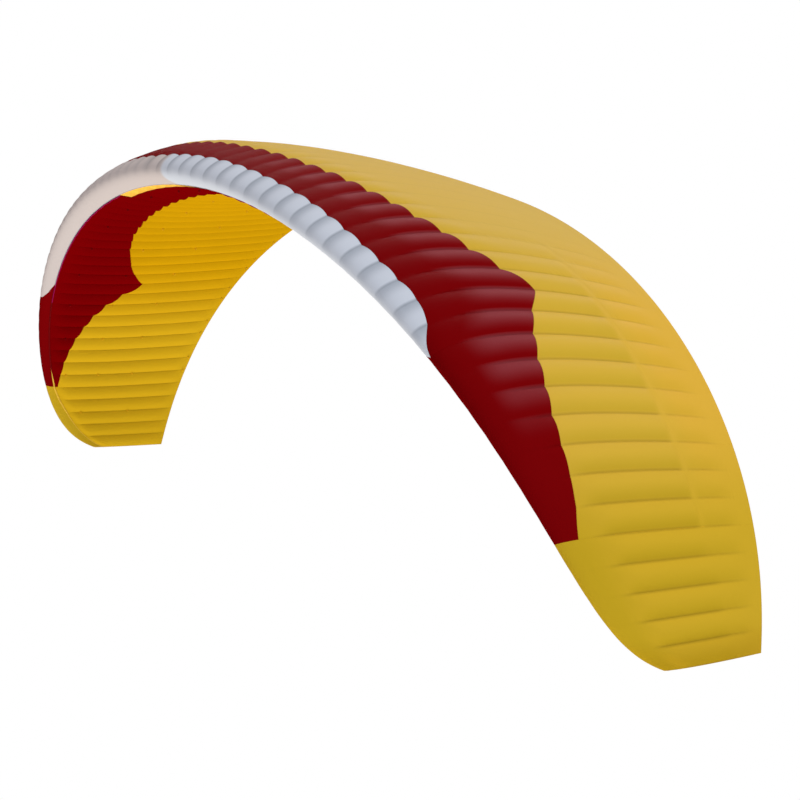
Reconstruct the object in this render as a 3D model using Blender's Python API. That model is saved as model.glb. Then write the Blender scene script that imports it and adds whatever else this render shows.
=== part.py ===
"""A paraglider's canopy as it flies: a ram-air wing of cloth cells, open at the nose.

Metres, +Z up. The leading edge faces -Y and the pilot's left half is at +X. The origin
is the centre of lift, on the chord line of the middle rib.

Places on the wing are given by t, the share of the half span from the middle (0) to a
tip (1, or -1 at the pilot's right), and u, which runs round a section from -1 at the
trailing edge below, over 0 at the nose, to 1 at the trailing edge above. The share of
the chord behind the nose is u squared.
"""

import math

import bmesh
import bpy
import numpy as np
from mathutils import Matrix, Vector

# Size and form of the wing, laid flat and then bent to its arc
HALF_SPAN = 5.9
CELLS_PER_HALF = 31
ROOT_CHORD = 2.553
NOSE_TO_ORIGIN = 0.800
# Each form below is a polynomial: the power of t, and its factor in metres or radians
LEADING_SWEEP = ((2, 0.781), (4, -0.029), (8, 0.223), (20, 0.185), (60, 0.121))
TRAILING_SWEEP = ((2, -0.473), (4, -0.008))
ARC_ROLL = ((1, 0.870), (3, 0.348), (5, 0.210))
TWIST = ((2, 0.026), (4, -0.058))
TWIST_PIVOT = 0.3           # share of the chord
CELL_NARROWING = (0.010, 0.0645)

# The aerofoil, as shares of the chord
THICKNESS = 0.153
CAMBER = 0.0232
CAMBER_PLACE = 0.3
TIP_THINNING = 0.55
BILLOW = 0.11               # height of a cell's crest over its width

# The sewn cloth, drawn as a padded wall so that it is a solid
WALL = 0.004
SEAM = 0.0003               # between two panels
HEM_HALF = 0.00415          # half the trailing edge's thickness

# Rows of points round each kind of panel
NOSE_POINTS = 7
RED_POINTS = 6
YELLOW_POINTS = 4
LOWER_POINTS = 3
TIP_POINTS_ABOVE = 10
TIP_POINTS_BELOW = 5

# Ribs where the panels part
CENTRE_RIB = 5
WHITE_END_RIB = 20
INTAKE_END_RIB = 26
# Rib from the middle; back edges of the white band, the red above and the red below,
# as shares of the chord
COLOUR_EDGES = (
    (0, 0.030, 0.145, 0.243),
    (5, 0.045, 0.155, 0.243),
    (8, 0.050, 0.179, 0.247),
    (11, 0.054, 0.223, 0.268),
    (13, 0.052, 0.267, 0.304),
    (15, 0.052, 0.335, 0.361),
    (16, 0.053, 0.385, 0.405),
    (17, 0.055, 0.453, 0.471),
    (18, 0.034, 0.378, 0.392),
    (19, 0.003, 0.321, 0.327),
    (20, 0.000, 0.276, 0.276),
    (22, 0.000, 0.209, 0.200),
    (24, 0.000, 0.161, 0.136),
    (25, 0.000, 0.126, 0.109),
    (26, 0.000, 0.076, 0.076),
)

# Rib from the middle; upper and lower lip of the slot under the nose, as u. Past the last
# open cell both lips are one seam.
SLOT_LIPS = (
    (0, -0.240, -0.252),
    (5, -0.235, -0.247),
    (10, -0.226, -0.238),
    (17, -0.218, -0.230),
    (20, -0.216, -0.228),
    (26, -0.228, -0.240),
)
WIDE_LIP_BELOW = -0.310     # in the middle cells, whose slot is deeper
TIP_SEAM = ((26, -0.228), (27, -0.254), (28, -0.295), (29, -0.320), (30, -0.341), (31, -0.362))
WHITE_POINT = -0.190        # where the white band ends, near the slot's upper lip

# The braked part of the trailing edge, in sections that hinge on the lower cloth
FLAP_FIRST_RIB = 5
FLAP_CELLS = 3
FLAPS_PER_HALF = 7
HINGE_AT = 0.78             # share of the chord
HINGE_SEAM = 0.0006
UPPER_SLOT = 0.0064
BRAKE_ANGLE = math.radians(25)
SIDE_CLEARANCE = 0.0055
PULL_MARGIN = 1.15          # on the drop that a flap's side gap is worked out from
HEM_DEPTH = 0.025           # solid hem ahead of the trailing edge, share of the chord

# Rib noses that show in the slot, and the tape that ties them
RIB_WALL = 0.003
RIB_SEAT = 0.0007           # between a plate's rim and the cloth
RIB_NOSE_END = 0.32         # the plates reach back to the row of points past this u
SLOT_REACH = 0.0035         # how far in u the plates stand clear of the slot's lips
TAPE_AT = 0.075             # share of the chord
TAPE_WIDTH = 0.020
TAPE_WALL = 0.003

# Sewn line tabs: rows as shares of the chord, on every third rib
TAB_ROWS = (0.14, 0.36, 0.60)
TAB_RIBS = (1, 4, 7, 10, 13, 16, 19, 22, 25)
TIP_TAB_ROWS = (0.20, 0.60)
TIP_TAB_RIB = 28
BRAKE_TAB_AT = 0.975        # share of the chord, on the flaps' inner ribs
TAB_WIDTH = 0.016
TAB_WALL = 0.004
TAB_DROP = 0.026
TAB_ROOT = 0.0025           # depth that the tab sinks into the cloth's wall

COLOURS = {
    "white": (0.78, 0.79, 0.82, 1.0),
    "red": (0.30, 0.006, 0.014, 1.0),
    "yellow": (0.85, 0.52, 0.03, 1.0),
    "rib": (0.82, 0.82, 0.80, 1.0),
}
CLOTH_ROUGHNESS = 0.55


def clear_scene():
    for item in list(bpy.data.objects):
        bpy.data.objects.remove(item, do_unlink=True)


def collection(name):
    group = bpy.data.collections.new(name)
    bpy.context.scene.collection.children.link(group)
    return group


def material(name, colour):
    finish = bpy.data.materials.new(name)
    finish.use_nodes = True
    shader = finish.node_tree.nodes["Principled BSDF"]
    shader.inputs["Base Color"].default_value = COLOURS[colour]
    shader.inputs["Roughness"].default_value = CLOTH_ROUGHNESS
    shader.inputs["Metallic"].default_value = 0.0
    return finish


def polynomial(terms, t):
    return sum(factor * t**power for power, factor in terms)


def rib_t(rib):
    """t of a rib, counted from the middle, negative to the right. Cells narrow to the tips."""
    share = abs(rib) / CELLS_PER_HALF
    square, fourth = CELL_NARROWING
    t = share * (1 + square * (1 - share**2) + fourth * (1 - share**4))
    return math.copysign(t, rib)


ARC_T = np.linspace(0, 1, 1201)
ARC_STEP = ARC_T[1] * HALF_SPAN
ARC_ANGLE = polynomial(ARC_ROLL, ARC_T)


def _running_sum(values):
    middles = (values[1:] + values[:-1]) / 2
    return np.concatenate([[0.0], np.cumsum(middles) * ARC_STEP])


ARC_X = _running_sum(np.cos(ARC_ANGLE))
ARC_Z = -_running_sum(np.sin(ARC_ANGLE))


def chord_line(t):
    """X, Z and roll of the chord line, and its leading and trailing Y."""
    size = abs(t)
    x = math.copysign(np.interp(size, ARC_T, ARC_X), t)
    z = np.interp(size, ARC_T, ARC_Z)
    roll = math.copysign(polynomial(ARC_ROLL, size), t)
    leading = -NOSE_TO_ORIGIN + polynomial(LEADING_SWEEP, size)
    trailing = ROOT_CHORD - NOSE_TO_ORIGIN + polynomial(TRAILING_SWEEP, size)
    return x, z, roll, leading, trailing


def aerofoil(u, t, chord):
    """Places along and above the chord line, in metres, before the twist."""
    share = u * u
    ahead = CAMBER / CAMBER_PLACE**2 * (2 * CAMBER_PLACE * share - share**2)
    behind = CAMBER / (1 - CAMBER_PLACE) ** 2 * (
        1 - 2 * CAMBER_PLACE + 2 * CAMBER_PLACE * share - share**2
    )
    middle = np.where(share < CAMBER_PLACE, ahead, behind)
    half = 5 * THICKNESS * (
        0.2969 * u
        - np.sign(u) * (0.1260 * share + 0.3516 * share**2 - 0.2843 * share**3 + 0.1036 * share**4)
    )
    thin = 1 - TIP_THINNING * t**4
    hem = np.sign(u) * HEM_HALF * share
    return share * chord, (middle + half) * thin * chord + hem


def section(t, u, depth=0.0):
    """Points of the section at t, depth metres inside the cloth's outer face."""
    u = np.asarray(u, float)
    x, z, roll, leading, trailing = chord_line(t)
    chord = trailing - leading
    step = 1e-4
    along, above = aerofoil(u, t, chord)
    along_next, above_next = aerofoil(u + step, t, chord)
    along_last, above_last = aerofoil(u - step, t, chord)
    tangent = np.stack([along_next - along_last, above_next - above_last])
    tangent = tangent / np.linalg.norm(tangent, axis=0)
    along = along + depth * tangent[1]
    above = above - depth * tangent[0]
    twist = polynomial(TWIST, abs(t))
    pivot = TWIST_PIVOT * chord
    back = pivot + (along - pivot) * math.cos(twist) + above * math.sin(twist)
    up = (along - pivot) * math.sin(twist) + above * math.cos(twist)
    return np.stack([x + up * math.sin(roll), leading + back, z + up * math.cos(roll)], -1)


def billow(u, cell_width):
    """How far a cell's crest stands out from the line between its ribs."""
    share = u * u
    fade = np.where(u > 0, 1 - share**3, np.clip(1 - share / HINGE_AT, 0, 1))
    return BILLOW * cell_width * fade


def colour_edge(column, rib):
    """u, without its sign, of a colour's back edge at a rib or between two ribs."""
    ribs = [row[0] for row in COLOUR_EDGES]
    shares = [row[column] for row in COLOUR_EDGES]
    return math.sqrt(np.interp(abs(rib), ribs, shares))


def lip_above(rib):
    return np.interp(abs(rib), *zip(*[row[:2] for row in SLOT_LIPS]))


def lip_below(rib):
    return np.interp(abs(rib), *zip(*[row[::2] for row in SLOT_LIPS]))


def tip_seam(rib):
    return np.interp(abs(rib), *zip(*TIP_SEAM))


def white_back(rib):
    tip = np.interp(abs(rib), (WHITE_END_RIB - 1, WHITE_END_RIB), (0, 1))
    return (1 - tip) * colour_edge(1, rib) + tip * WHITE_POINT


def red_back_above(rib):
    return colour_edge(2, rib)


def red_back_below(rib):
    return -colour_edge(3, rib)


def same(u):
    return lambda rib: u


def u_step(t, u, length):
    """The change of u along the cloth over a length in metres."""
    ends = section(t, [u - 1e-3, u + 1e-3])
    return length * 2e-3 / np.linalg.norm(ends[1] - ends[0])


def stations(first_rib, last_rib):
    """(rib, t, cell width) of each rib line and each crest between two ribs."""
    places = []
    for rib in range(first_rib, last_rib + 1):
        places.append((rib, rib_t(rib), 0.0))
        if rib < last_rib:
            width = abs(rib_t(rib + 1) - rib_t(rib)) * HALF_SPAN
            places.append((rib + 0.5, (rib_t(rib) + rib_t(rib + 1)) / 2, width))
    trim = SEAM / 2 / HALF_SPAN
    places[0] = (first_rib, places[0][1] + trim, 0.0)
    places[-1] = (last_rib, places[-1][1] - trim, 0.0)
    return places


def edge_at(edge, rib):
    """A panel's edge runs straight from rib to rib. rib may be a fraction."""
    low = math.floor(rib)
    share = rib - low
    return edge(low) if share == 0 else (1 - share) * edge(low) + share * edge(low + 1)


def wall_mesh(name, outer, inner):
    """A closed wall between two grids of points, stations by places round the section."""
    rows, columns = outer.shape[:2]
    bm = bmesh.new()
    grids = [
        [[bm.verts.new(point) for point in line] for line in grid] for grid in (outer, inner)
    ]
    top, bottom = grids
    for row in range(rows - 1):
        for column in range(columns - 1):
            for grid in grids:
                bm.faces.new((
                    grid[row][column], grid[row + 1][column],
                    grid[row + 1][column + 1], grid[row][column + 1],
                ))
        for column in (0, columns - 1):
            bm.faces.new((
                top[row][column], top[row + 1][column],
                bottom[row + 1][column], bottom[row][column],
            ))
    for row in (0, rows - 1):
        for column in range(columns - 1):
            bm.faces.new((
                top[row][column], top[row][column + 1],
                bottom[row][column + 1], bottom[row][column],
            ))
    return finished(name, bm)


def plate_mesh(name, near, far):
    """A flat plate between two like outlines."""
    bm = bmesh.new()
    rings = [[bm.verts.new(point) for point in outline] for outline in (near, far)]
    for ring in rings:
        bm.faces.new(ring)
    count = len(near)
    for index in range(count):
        after = (index + 1) % count
        bm.faces.new((rings[0][index], rings[0][after], rings[1][after], rings[1][index]))
    return finished(name, bm)


def finished(name, bm):
    bmesh.ops.recalc_face_normals(bm, faces=bm.faces)
    mesh = bpy.data.meshes.new(name)
    bm.to_mesh(mesh)
    bm.free()
    return mesh


def place(name, mesh, colour, group):
    item = bpy.data.objects.new(name, mesh)
    item.data.materials.append(material(name, colour))
    group.objects.link(item)
    return item


def panel(name, colour, group, first_rib, last_rib, front, back, count):
    """A cloth panel from rib to rib, between two edges that are functions of the rib."""
    outer, inner = [], []
    for rib, t, width in stations(first_rib, last_rib):
        start, end = edge_at(front, rib), edge_at(back, rib)
        start += u_step(t, start, SEAM / 2)
        end -= u_step(t, end, SEAM / 2)
        u = np.linspace(start, end, count)
        crest = billow(u, width)
        outer.append(section(t, u, -crest))
        inner.append(section(t, u, WALL - crest))
    return place(name, wall_mesh(name, np.array(outer), np.array(inner)), colour, group)


def flap_trim(first_rib):
    """Side gap at a flap's trailing edge, so that it clears its neighbours when pulled down."""
    near, far = rib_t(first_rib), rib_t(first_rib + FLAP_CELLS)
    half_bend = abs(chord_line(far)[2] - chord_line(near)[2]) / 2
    *_, leading, trailing = chord_line(near)
    drop = (1 - HINGE_AT) * (trailing - leading) * math.sin(BRAKE_ANGLE)
    return SIDE_CLEARANCE / 2 + PULL_MARGIN * drop * math.sin(half_bend)


def flap_line(u, first_rib):
    """How far in from its rib each point of a flap's side lies, in t."""
    behind = np.clip((u * u - HINGE_AT) / (1 - HINGE_AT), 0, 1)
    trim = SIDE_CLEARANCE / 2 + behind * (flap_trim(first_rib) - SIDE_CLEARANCE / 2)
    return trim / HALF_SPAN


def flap(name, group, cutters, side, first_rib):
    """A trailing edge section: the cloth above and below, joined in the hem."""
    last_rib = first_rib + FLAP_CELLS
    hem_u = math.sqrt(1 - HEM_DEPTH)
    t_middle = rib_t(first_rib + FLAP_CELLS / 2)
    hinge = math.sqrt(HINGE_AT)
    low = hinge + u_step(t_middle, hinge, HINGE_SEAM / 2)
    high = hinge + u_step(t_middle, hinge, UPPER_SLOT / 2)
    half_way = math.sqrt((1 + HINGE_AT) / 2)
    outer_u = np.array([-low, -half_way, -1, 1, half_way, high])
    inner_u = np.array([-low, -half_way, -hem_u, hem_u, half_way, high])
    outer, inner = [], []
    for rib in range(first_rib, last_rib + 1):
        inward = {first_rib: 1, last_rib: -1}.get(rib, 0)
        for grid, places, depth in ((outer, outer_u, 0.0), (inner, inner_u, WALL)):
            shift = inward * flap_line(places, first_rib)
            line = [
                section(side * (rib_t(rib) + move), u, depth) for u, move in zip(places, shift)
            ]
            grid.append(line)
    item = place(name, wall_mesh(name, np.array(outer), np.array(inner)), "yellow", group)
    tab_u = -math.sqrt(BRAKE_TAB_AT)
    below = np.array([-1, -half_way, -low])
    unite(item, [
        tab(f"tab_{name}_{rib}", cutters, side * rib_t(rib), tab_u, below)
        for rib in range(first_rib + 1, last_rib)
    ])
    return item


def hinge_points(side, first_rib):
    """The two ends of a flap's hinge line, on the lower cloth."""
    hinge = -math.sqrt(HINGE_AT)
    return [
        Vector(section(side * rib_t(rib), hinge)) for rib in (first_rib, first_rib + FLAP_CELLS)
    ]


def hang_on_hinge(item, side, first_rib, group):
    """The flap's parent is an empty on its hinge line."""
    near, far = hinge_points(side, first_rib)
    pivot = bpy.data.objects.new(item.name + "_hinge", None)
    pivot.location = (near + far) / 2
    group.objects.link(pivot)
    item.parent = pivot
    item.matrix_parent_inverse = Matrix.Translation(-pivot.location)
    return pivot


def rows_to(rows, end):
    """The rows of points from the slot back, up to the first one past end."""
    count = np.argmax(np.abs(rows) >= end) + 1
    return rows[:count]


def rib_nose_outline(rib, shift, lower_lip, has_white):
    """Outline of a rib's nose plate, inside the cloth and level with it in the slot.

    Its corners lie where the panels' own rows of points do, so it follows their facets.
    """
    t = rib_t(rib) + shift
    beside = rib + shift / (rib_t(rib + 1) - rib_t(rib))
    hinge = math.sqrt(HINGE_AT)
    edges = (lip_above, lower_lip, white_back, red_back_above, red_back_below)
    high_lip, low_lip, white, red, red_below = (edge_at(edge, beside) for edge in edges)
    if has_white:
        nose = np.concatenate([
            np.linspace(high_lip, white, NOSE_POINTS), np.linspace(white, red, RED_POINTS)[1:],
        ])
    else:
        nose = np.linspace(high_lip, red, RED_POINTS)
    above = np.concatenate([nose, np.linspace(red, hinge, YELLOW_POINTS)[1:]])
    after_nose = np.argmax(above > 0)
    end = after_nose + len(rows_to(above[after_nose:], RIB_NOSE_END))
    below = np.concatenate([
        np.linspace(low_lip, red_below, LOWER_POINTS),
        np.linspace(red_below, -hinge, LOWER_POINTS)[1:],
    ])
    inset = WALL + RIB_SEAT
    slot = np.array([low_lip + SLOT_REACH, high_lip - SLOT_REACH])
    return np.concatenate([
        section(t, rows_to(below, RIB_NOSE_END)[::-1], inset),
        section(t, slot, RIB_WALL / 2),
        section(t, above[:end], inset),
    ])


def tape_outline(rib):
    """Section of the tape that ties the rib noses, half way between the cloths."""
    t = rib_t(rib)
    u = math.sqrt(TAPE_AT)
    above, below = section(t, [u, -u])
    middle = (above + below) / 2
    up = (above - below) / np.linalg.norm(above - below)
    back = np.array([0.0, TAPE_WIDTH, 0.0])
    rise = up * TAPE_WALL / 2
    return [middle - rise, middle - rise + back, middle + rise + back, middle + rise]


def tape_mesh(name, first_rib, last_rib):
    bm = bmesh.new()
    rings = [
        [bm.verts.new(point) for point in tape_outline(rib)]
        for rib in range(first_rib, last_rib + 1)
    ]
    for near, far in zip(rings, rings[1:]):
        for index in range(4):
            after = (index + 1) % 4
            bm.faces.new((near[index], near[after], far[after], far[index]))
    bm.faces.new(rings[0])
    bm.faces.new(rings[-1])
    return finished(name, bm)


def unite(item, pieces):
    """Joins pieces to item as one body."""
    for piece in pieces:
        piece.hide_render = True
        piece.display_type = "WIRE"
        join = item.modifiers.new(piece.name, "BOOLEAN")
        join.operation = "UNION"
        join.solver = "EXACT"
        join.object = piece


def rib_noses(name, group, cutters, ribs, lower_lip, has_white):
    """The noses of the ribs that stand in the slot, tied by a tape inside the wing.

    Two spans meet at one rib, whose nose belongs to the span nearer the tip.
    """
    first_rib, last_rib = ribs
    half_wall = RIB_WALL / 2 / HALF_SPAN
    kept = [
        rib for rib in range(first_rib, last_rib + 1)
        if abs(rib) < max(map(abs, ribs)) or abs(rib) == INTAKE_END_RIB
    ]
    plates = []
    for rib in kept:
        inward = {first_rib: 2, last_rib: -2}.get(rib, 0) * half_wall
        mesh = plate_mesh(
            f"{name}_{rib}",
            rib_nose_outline(rib, inward - half_wall, lower_lip, has_white),
            rib_nose_outline(rib, inward + half_wall, lower_lip, has_white),
        )
        plates.append(place(mesh.name, mesh, "rib", cutters))
    tape = place(name, tape_mesh(name, kept[0], kept[-1]), "rib", group)
    unite(tape, plates)
    return tape


def on_facet(t, rows, u, depth=0.0):
    """A point of a panel's flat facet at u, between the rows of points round the section."""
    points = section(t, rows, depth)
    return Vector([np.interp(u, rows, points[:, axis]) for axis in range(3)])


def tab(name, cutters, t, u, rows):
    """A line tab: a short web that stands on the lower cloth along a rib."""
    foot = on_facet(t, rows, u)
    up = (on_facet(t, rows, u, WALL) - foot).normalized()
    back = (on_facet(t, rows, u - 1e-3) - foot).normalized()
    across = up.cross(back).normalized()
    back = across.cross(up)
    bpy.ops.mesh.primitive_cube_add(size=1)
    web = bpy.context.object
    web.name = name
    web.data.transform(Matrix.Diagonal((TAB_WALL, TAB_WIDTH, TAB_DROP + TAB_ROOT, 1)))
    turn = Matrix((across, back, up)).transposed().to_4x4()
    middle = foot + up * (TAB_ROOT - TAB_DROP) / 2
    web.matrix_world = Matrix.Translation(middle) @ turn
    for group in list(web.users_collection):
        group.objects.unlink(web)
    cutters.objects.link(web)
    return web


def tabs_for(cutters, label, first_rib, last_rib, ribs, rows, front, back, count):
    """The tabs whose foot lies on the panel between these ribs and edges."""
    found = []
    for rib in range(first_rib + 1, last_rib):
        if abs(rib) not in ribs:
            continue
        for row, share in enumerate(rows):
            u = -math.sqrt(share)
            if front(rib) < u < back(rib):
                panel_rows = np.linspace(front(rib), back(rib), count)
                found.append(tab(f"tab_{label}_{rib}_{row}", cutters, rib_t(rib), u, panel_rows))
    return found


def tip_rib(name, group, side):
    """The flat rib that closes a tip."""
    u = np.concatenate([np.linspace(-1, 0, 10), np.linspace(0, 1, 10)[1:]])
    outline = section(side, u)
    roll = chord_line(side)[2]
    outward = np.array([math.cos(roll), 0.0, -math.sin(roll)]) * side
    near = outline + outward * SEAM / 2
    far = near + outward * WALL
    return place(name, plate_mesh(name, near, far), "yellow", group)


def lower_panel(name, colour, group, cutters, ribs, front, back, count, rows, tab_ribs):
    item = panel(name, colour, group, *ribs, front, back, count)
    unite(item, tabs_for(cutters, name, *ribs, tab_ribs, rows, front, back, count))
    return item


def build_span(label, group, cutters, ribs, lower_lip, has_white, to_hem):
    """All the panels between two ribs, from the slot back to the hinge line or the hem."""
    hinge = math.sqrt(HINGE_AT)
    middle = rib_t(sum(ribs) / 2)
    upper_stop = hinge - u_step(middle, hinge, (UPPER_SLOT - SEAM) / 2)
    lower_stop = hinge - u_step(middle, hinge, (HINGE_SEAM - SEAM) / 2)
    upper_end = same(1.0 if to_hem else upper_stop)
    lower_end = same(-1.0 if to_hem else -lower_stop)
    red_front = lip_above
    if has_white:
        panel(f"nose_white_{label}", "white", group, *ribs, lip_above, white_back, NOSE_POINTS)
        red_front = white_back
    panel(f"upper_red_{label}", "red", group, *ribs, red_front, red_back_above, RED_POINTS)
    panel(
        f"upper_yellow_{label}", "yellow", group, *ribs,
        red_back_above, upper_end, YELLOW_POINTS,
    )
    lower_panel(
        f"lower_red_{label}", "red", group, cutters, ribs,
        red_back_below, lower_lip, LOWER_POINTS, TAB_ROWS, TAB_RIBS,
    )
    lower_panel(
        f"lower_yellow_{label}", "yellow", group, cutters, ribs,
        lower_end, red_back_below, LOWER_POINTS, TAB_ROWS, TAB_RIBS,
    )
    rib_noses(f"rib_noses_{label}", group, cutters, ribs, lower_lip, has_white)


def build_tip(label, group, cutters, side):
    """The closed cells at a tip, with their end rib."""
    ribs = tuple(sorted((side * INTAKE_END_RIB, side * CELLS_PER_HALF)))
    panel(f"upper_tip_{label}", "yellow", group, *ribs, tip_seam, same(1.0), TIP_POINTS_ABOVE)
    lower_panel(
        f"lower_tip_{label}", "yellow", group, cutters, ribs,
        same(-1.0), tip_seam, TIP_POINTS_BELOW, TIP_TAB_ROWS, (TIP_TAB_RIB,),
    )
    tip_rib(f"tip_rib_{label}", group, side)


def build_flaps(label, group, cutters, side):
    for number in range(FLAPS_PER_HALF):
        first_rib = FLAP_FIRST_RIB + number * FLAP_CELLS
        item = flap(f"brake_flap_{label}_{number + 1}", group, cutters, side, first_rib)
        hang_on_hinge(item, side, first_rib, group)


def main():
    clear_scene()
    group = collection("paraglider")
    cutters = collection("paraglider_helpers")
    middle = (-CENTRE_RIB, CENTRE_RIB)
    build_span("centre", group, cutters, middle, same(WIDE_LIP_BELOW), True, True)
    for label, side in (("left", 1), ("right", -1)):
        inner = tuple(sorted((side * CENTRE_RIB, side * WHITE_END_RIB)))
        outer = tuple(sorted((side * WHITE_END_RIB, side * INTAKE_END_RIB)))
        build_span(f"inner_{label}", group, cutters, inner, lip_below, True, False)
        build_span(f"outer_{label}", group, cutters, outer, lip_below, False, False)
        build_tip(label, group, cutters, side)
        build_flaps(label, group, cutters, side)


main()
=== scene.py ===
"""The looks of a paraglider's canopy in flight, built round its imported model.

Metres, +Z up. The leading edge faces -Y and the pilot's left half is at +X. Places on the
wing are given by a rib number, counted from the middle and negative to the right, with a
fraction between two ribs, and by u, which runs round a section from -1 at the trailing edge
below, over 0 at the nose, to 1 at the trailing edge above. The share of the chord behind the
nose is u squared. The wing's form is the one that its solids were made from.
"""

import math

import bmesh
import bpy
import numpy as np
from bpy.props import FloatProperty, FloatVectorProperty, IntProperty, PointerProperty
from mathutils import Matrix, Vector


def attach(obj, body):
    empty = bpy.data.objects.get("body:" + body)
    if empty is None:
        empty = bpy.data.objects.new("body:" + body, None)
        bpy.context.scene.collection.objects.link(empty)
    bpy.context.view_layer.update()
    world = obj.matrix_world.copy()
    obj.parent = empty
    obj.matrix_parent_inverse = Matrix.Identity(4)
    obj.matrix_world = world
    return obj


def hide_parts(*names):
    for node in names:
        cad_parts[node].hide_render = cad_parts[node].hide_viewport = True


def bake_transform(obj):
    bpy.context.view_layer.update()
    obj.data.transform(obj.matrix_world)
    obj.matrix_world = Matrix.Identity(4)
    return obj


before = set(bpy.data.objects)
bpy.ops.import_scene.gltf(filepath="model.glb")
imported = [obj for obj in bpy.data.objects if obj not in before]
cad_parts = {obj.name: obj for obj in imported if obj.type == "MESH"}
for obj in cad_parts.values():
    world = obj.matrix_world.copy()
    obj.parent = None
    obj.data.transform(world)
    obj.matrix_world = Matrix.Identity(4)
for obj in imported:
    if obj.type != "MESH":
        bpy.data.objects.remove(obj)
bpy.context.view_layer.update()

bl_info = {
    "name": "Paraglider canopy",
    "version": (1, 0, 0),
    "blender": (4, 5, 0),
    "location": "View3D > Sidebar > Canopy",
    "description": "Sews the cloth of a paraglider's canopy round its solid model",
    "category": "Object",
}

SIDES = (("left", 1), ("right", -1))    # label of each half, and the sign of its X

# Form of the wing, laid flat and then bent to its arc
HALF_SPAN = 5.9
CELLS_PER_HALF = 31
ROOT_CHORD = 2.553
NOSE_TO_ORIGIN = 0.800
# Each form below is a polynomial: the power of t, and its factor in metres or radians
LEADING_SWEEP = ((2, 0.781), (4, -0.029), (8, 0.223), (20, 0.185), (60, 0.121))
TRAILING_SWEEP = ((2, -0.473), (4, -0.008))
ARC_ROLL = ((1, 0.870), (3, 0.348), (5, 0.210))
TWIST = ((2, 0.026), (4, -0.058))
TWIST_PIVOT = 0.3           # share of the chord
CELL_NARROWING = (0.010, 0.0645)
THICKNESS = 0.153
CAMBER = 0.0232
CAMBER_PLACE = 0.3
TIP_THINNING = 0.55
HEM_HALF = 0.0015

# Ribs where the cloth changes
CENTRE_RIB = 5
SLOT_END_RIB = 26
WHITE_END_RIB = 19
# Rib from the middle; back edges of the white band, the red above and the red below,
# as shares of the chord
COLOUR_EDGES = (
    (0, 0.030, 0.145, 0.243),
    (5, 0.045, 0.155, 0.243),
    (8, 0.050, 0.179, 0.247),
    (11, 0.054, 0.223, 0.268),
    (13, 0.052, 0.267, 0.304),
    (15, 0.052, 0.335, 0.361),
    (16, 0.053, 0.385, 0.405),
    (17, 0.055, 0.453, 0.471),
    (18, 0.034, 0.378, 0.392),
    (19, 0.000, 0.321, 0.327),
    (20, 0.000, 0.276, 0.276),
    (22, 0.000, 0.209, 0.200),
    (24, 0.000, 0.161, 0.136),
    (25, 0.000, 0.126, 0.109),
    (26, 0.000, 0.076, 0.076),
)
# Rib from the middle; upper and lower lip of the slot under the nose, as u
SLOT_LIPS = (
    (0, -0.240, -0.252),
    (5, -0.235, -0.247),
    (10, -0.226, -0.238),
    (17, -0.218, -0.230),
    (20, -0.216, -0.228),
    (26, -0.228, -0.240),
)
WIDE_LIP_BELOW = -0.310     # in the middle cells, whose slot is deeper
TIP_SEAM = ((26, -0.228), (27, -0.254), (28, -0.295), (29, -0.320), (30, -0.341), (31, -0.362))
# Rib from the middle and u: the white band's lower edge leaves the slot and rises to its point
WHITE_FOOT = ((17.3, -0.218), (18.2, -0.160), (18.75, -0.085), (19, 0.0))
WHITE_SCALLOP = 0.010       # how far the white band's back edge swings back in each cell, in u
RIGHT_TRIM = 0.12           # share by which the white band is narrower on the right,
RIGHT_TRIM_RIBS = (5, 9)    # growing between these ribs

# The trailing cloth: sewn on at a shared seam, and cut in sections for the brakes
TRAILING_SEAM = 0.70        # share of the chord
BRAKE_CELLS = 3
# Number and first rib of each section
BRAKES = tuple(enumerate(range(CENTRE_RIB, SLOT_END_RIB, BRAKE_CELLS), 1))
BEND_START = 0.73           # shares of the chord that mark a brake cloth's bend; its points there are found but not used
BEND_END = 0.88

# Swell of the cells, from 0 where their cloth is pulled flat to 1. Each pair is where a change
# starts and where it ends
NOSE_RIBS = (18, 25)        # the nose is pulled flat beyond these
NOSE_LEAST = 0.04
NOSE_SWELL = 0.32
NOSE_RISE = (-0.12, 0.10)   # in u
RIGHT_CALM = 0.5            # share by which the white band is smoother on the right
RIGHT_CALM_RIBS = (-2, 2)
ABOVE_RISE = (0.27, 0.50)   # in u
TIP_DELAY = 0.06            # that rise starts so much later near the tips
CROWN_RIBS = (12, 18)       # the yellow above is smoother inside these
CROWN_CALM = 0.93
CROWN_REACH = 0.14          # in u, behind the red
BACK_CALM = 0.40            # behind the trailing cloth's seam
BACK_SHARES = (0.66, 0.72)  # of the chord
PULL_AT = 0.685             # share of the chord where a tight seam pulls the cells flat
PULL_WIDTH = 0.020
PULL_DEPTH = 0.80
RIDGE_RIBS = (12, 15)       # that seam fades in between these
RIDGE_HEIGHT = 0.005
RIDGE_WIDTH = 0.017         # share of the chord
RIDGE_LEAST = 0.35          # its height midway between two ribs
HEM_FLAT = (0.80, 0.95)     # the cells flatten out between these shares of the chord
HEM_FLAT_BELOW = (0.90, 1.0)
NARROW_SLOT_SWELL = 0.30    # below, at the narrow slot's lip
LOWER_SWELL = 0.08          # below, at the front of the other cells
BELOW_RISE = 0.08           # share of the chord in which the swell below is full
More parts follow.
